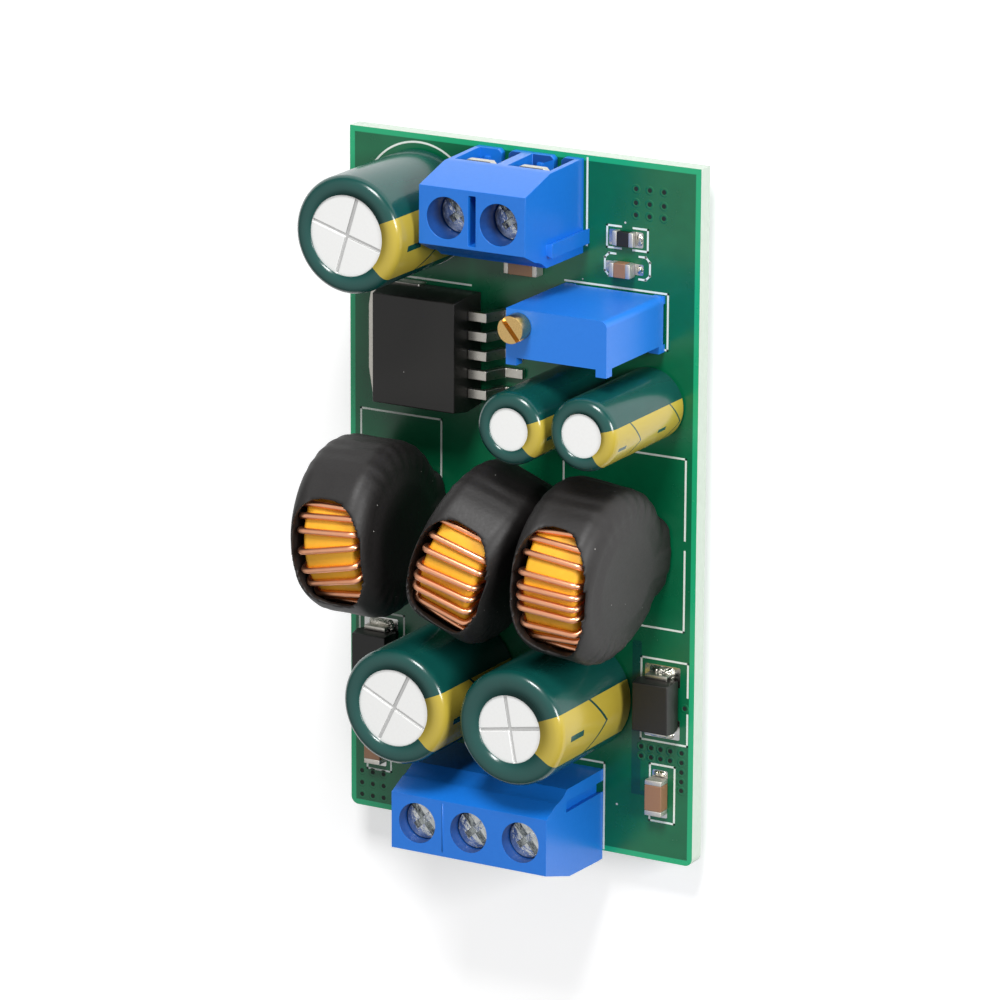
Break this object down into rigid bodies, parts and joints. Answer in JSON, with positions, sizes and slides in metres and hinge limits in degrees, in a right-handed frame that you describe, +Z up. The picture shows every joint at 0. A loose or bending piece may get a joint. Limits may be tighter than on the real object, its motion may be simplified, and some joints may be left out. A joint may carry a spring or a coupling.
{
  "type": "buck-boost converter module",
  "caption": "Small circuit board that turns one DC voltage into another, with screw terminals, a trimmer, ring chokes and upright capacitors.",
  "frame": {"origin": "centre of the module's outline, at the tips of its terminal pins, which it stands on", "axes": "+X across the board to the right, +Y along the board towards the input terminals, +Z up out of the component side"},
  "size_m": [0.034, 0.0622, 0.0183],
  "materials": {
    "solder_mask": "green solder mask over glass-filled epoxy, satin",
    "blue_plastic": "blue moulded polyamide, satin",
    "trimmer_plastic": "blue moulded plastic, satin",
    "brass": "turned, bright",
    "tinned_metal": "dull bright tin plate",
    "plated_steel": "zinc plated",
    "moulded_epoxy": "fine matt moulding",
    "capacitor_sleeve": "shrunk plastic film, glossy",
    "aluminium_can": "drawn, bright",
    "rubber_bung": "matt",
    "coated_core": "powder coated, satin",
    "copper_wire": "enamelled copper, glossy",
    "heat_shrink": "matt, faintly wrinkled",
    "chip_ceramic": "unglazed, fine"
  },
  "bodies": {
    "module": {"ceramic_capacitor_bodies": "chip_ceramic", "chip_part_ends": "tinned_metal", "circuit_board": "solder_mask", "converter_chip_body": "moulded_epoxy", "converter_chip_leads": "tinned_metal", "converter_chip_tab": "tinned_metal", "diode_leads": "tinned_metal", "input_capacitor_bung": "rubber_bung", "input_capacitor_can": "aluminium_can", "input_capacitor_leads": "tinned_metal", "input_capacitor_sleeve": "capacitor_sleeve", "input_contact_1": "tinned_metal", "input_contact_2": "tinned_metal", "input_terminal_housing": "blue_plastic", "left_choke_core": "coated_core", "left_choke_sleeve": "heat_shrink", "left_choke_winding": "copper_wire", "left_coupling_capacitor_bung": "rubber_bung", "left_coupling_capacitor_can": "aluminium_can", "left_coupling_capacitor_leads": "tinned_metal", "left_coupling_capacitor_sleeve": "capacitor_sleeve", "left_diode_body": "moulded_epoxy", "left_output_capacitor_bung": "rubber_bung", "left_output_capacitor_can": "aluminium_can", "left_output_capacitor_leads": "tinned_metal", "left_output_capacitor_sleeve": "capacitor_sleeve", "middle_choke_core": "coated_core", "middle_choke_sleeve": "heat_shrink", "middle_choke_winding": "copper_wire", "output_contact_1": "tinned_metal", "output_contact_2": "tinned_metal", "output_contact_3": "tinned_metal", "output_terminal_housing": "blue_plastic", "resistor_body": "moulded_epoxy", "right_choke_core": "coated_core", "right_choke_sleeve": "heat_shrink", "right_choke_winding": "copper_wire", "right_coupling_capacitor_bung": "rubber_bung", "right_coupling_capacitor_can": "aluminium_can", "right_coupling_capacitor_leads": "tinned_metal", "right_coupling_capacitor_sleeve": "capacitor_sleeve", "right_diode_body": "moulded_epoxy", "right_output_capacitor_bung": "rubber_bung", "right_output_capacitor_can": "aluminium_can", "right_output_capacitor_leads": "tinned_metal", "right_output_capacitor_sleeve": "capacitor_sleeve", "trimmer_housing": "trimmer_plastic", "trimmer_pins": "tinned_metal"},
    "input_leaf_1": {"input_leaf_1": "tinned_metal"},
    "input_screw_1": {"input_screw_1": "plated_steel"},
    "input_leaf_2": {"input_leaf_2": "tinned_metal"},
    "input_screw_2": {"input_screw_2": "plated_steel"},
    "output_leaf_1": {"output_leaf_1": "tinned_metal"},
    "output_screw_1": {"output_screw_1": "plated_steel"},
    "output_leaf_2": {"output_leaf_2": "tinned_metal"},
    "output_screw_2": {"output_screw_2": "plated_steel"},
    "output_leaf_3": {"output_leaf_3": "tinned_metal"},
    "output_screw_3": {"output_screw_3": "plated_steel"},
    "trimmer_screw": {"trimmer_screw": "brass"}
  },
  "joints": [
    {"name": "input_lift_1", "type": "slide", "parent": "module", "child": "input_leaf_1", "axis": [0, 0, 1], "range_m": [-0.00025, 0.0014]},
    {"name": "input_turn_1", "type": "hinge", "parent": "input_leaf_1", "child": "input_screw_1", "pos_m": [-0.00173, 0.02672, 0.00537], "axis": [0, 0, 1], "range_deg": [-183, 1011]},
    {"name": "input_lift_2", "type": "slide", "parent": "module", "child": "input_leaf_2", "axis": [0, 0, 1], "range_m": [-0.00025, 0.0014]},
    {"name": "input_turn_2", "type": "hinge", "parent": "input_leaf_2", "child": "input_screw_2", "pos_m": [0.00335, 0.02672, 0.00537], "axis": [0, 0, 1], "range_deg": [-183, 1011]},
    {"name": "output_lift_1", "type": "slide", "parent": "module", "child": "output_leaf_1", "axis": [0, 0, 1], "range_m": [-0.00145, 0.0002]},
    {"name": "output_turn_1", "type": "hinge", "parent": "output_leaf_1", "child": "output_screw_1", "pos_m": [0.00575, -0.02702, 0.00657], "axis": [0, 0, 1], "range_deg": [-1047, 147]},
    {"name": "output_lift_2", "type": "slide", "parent": "module", "child": "output_leaf_2", "axis": [0, 0, 1], "range_m": [-0.00145, 0.0002]},
    {"name": "output_turn_2", "type": "hinge", "parent": "output_leaf_2", "child": "output_screw_2", "pos_m": [0.00067, -0.02702, 0.00657], "axis": [0, 0, 1], "range_deg": [-1047, 147]},
    {"name": "output_lift_3", "type": "slide", "parent": "module", "child": "output_leaf_3", "axis": [0, 0, 1], "range_m": [-0.00145, 0.0002]},
    {"name": "output_turn_3", "type": "hinge", "parent": "output_leaf_3", "child": "output_screw_3", "pos_m": [-0.00441, -0.02702, 0.00657], "axis": [0, 0, 1], "range_deg": [-1047, 147]},
    {"name": "trimmer_turn", "type": "hinge", "parent": "module", "child": "trimmer_screw", "pos_m": [0.00548, 0.0184, 0.0137], "axis": [0, 0, 1], "continuous": true}
  ],
  "couplings": [
    {"joint": "input_turn_1", "follows": "input_lift_1", "rad_per_m": 12566},
    {"joint": "input_turn_2", "follows": "input_lift_2", "rad_per_m": 12566},
    {"joint": "output_turn_1", "follows": "output_lift_1", "rad_per_m": 12566},
    {"joint": "output_turn_2", "follows": "output_lift_2", "rad_per_m": 12566},
    {"joint": "output_turn_3", "follows": "output_lift_3", "rad_per_m": 12566}
  ]
}
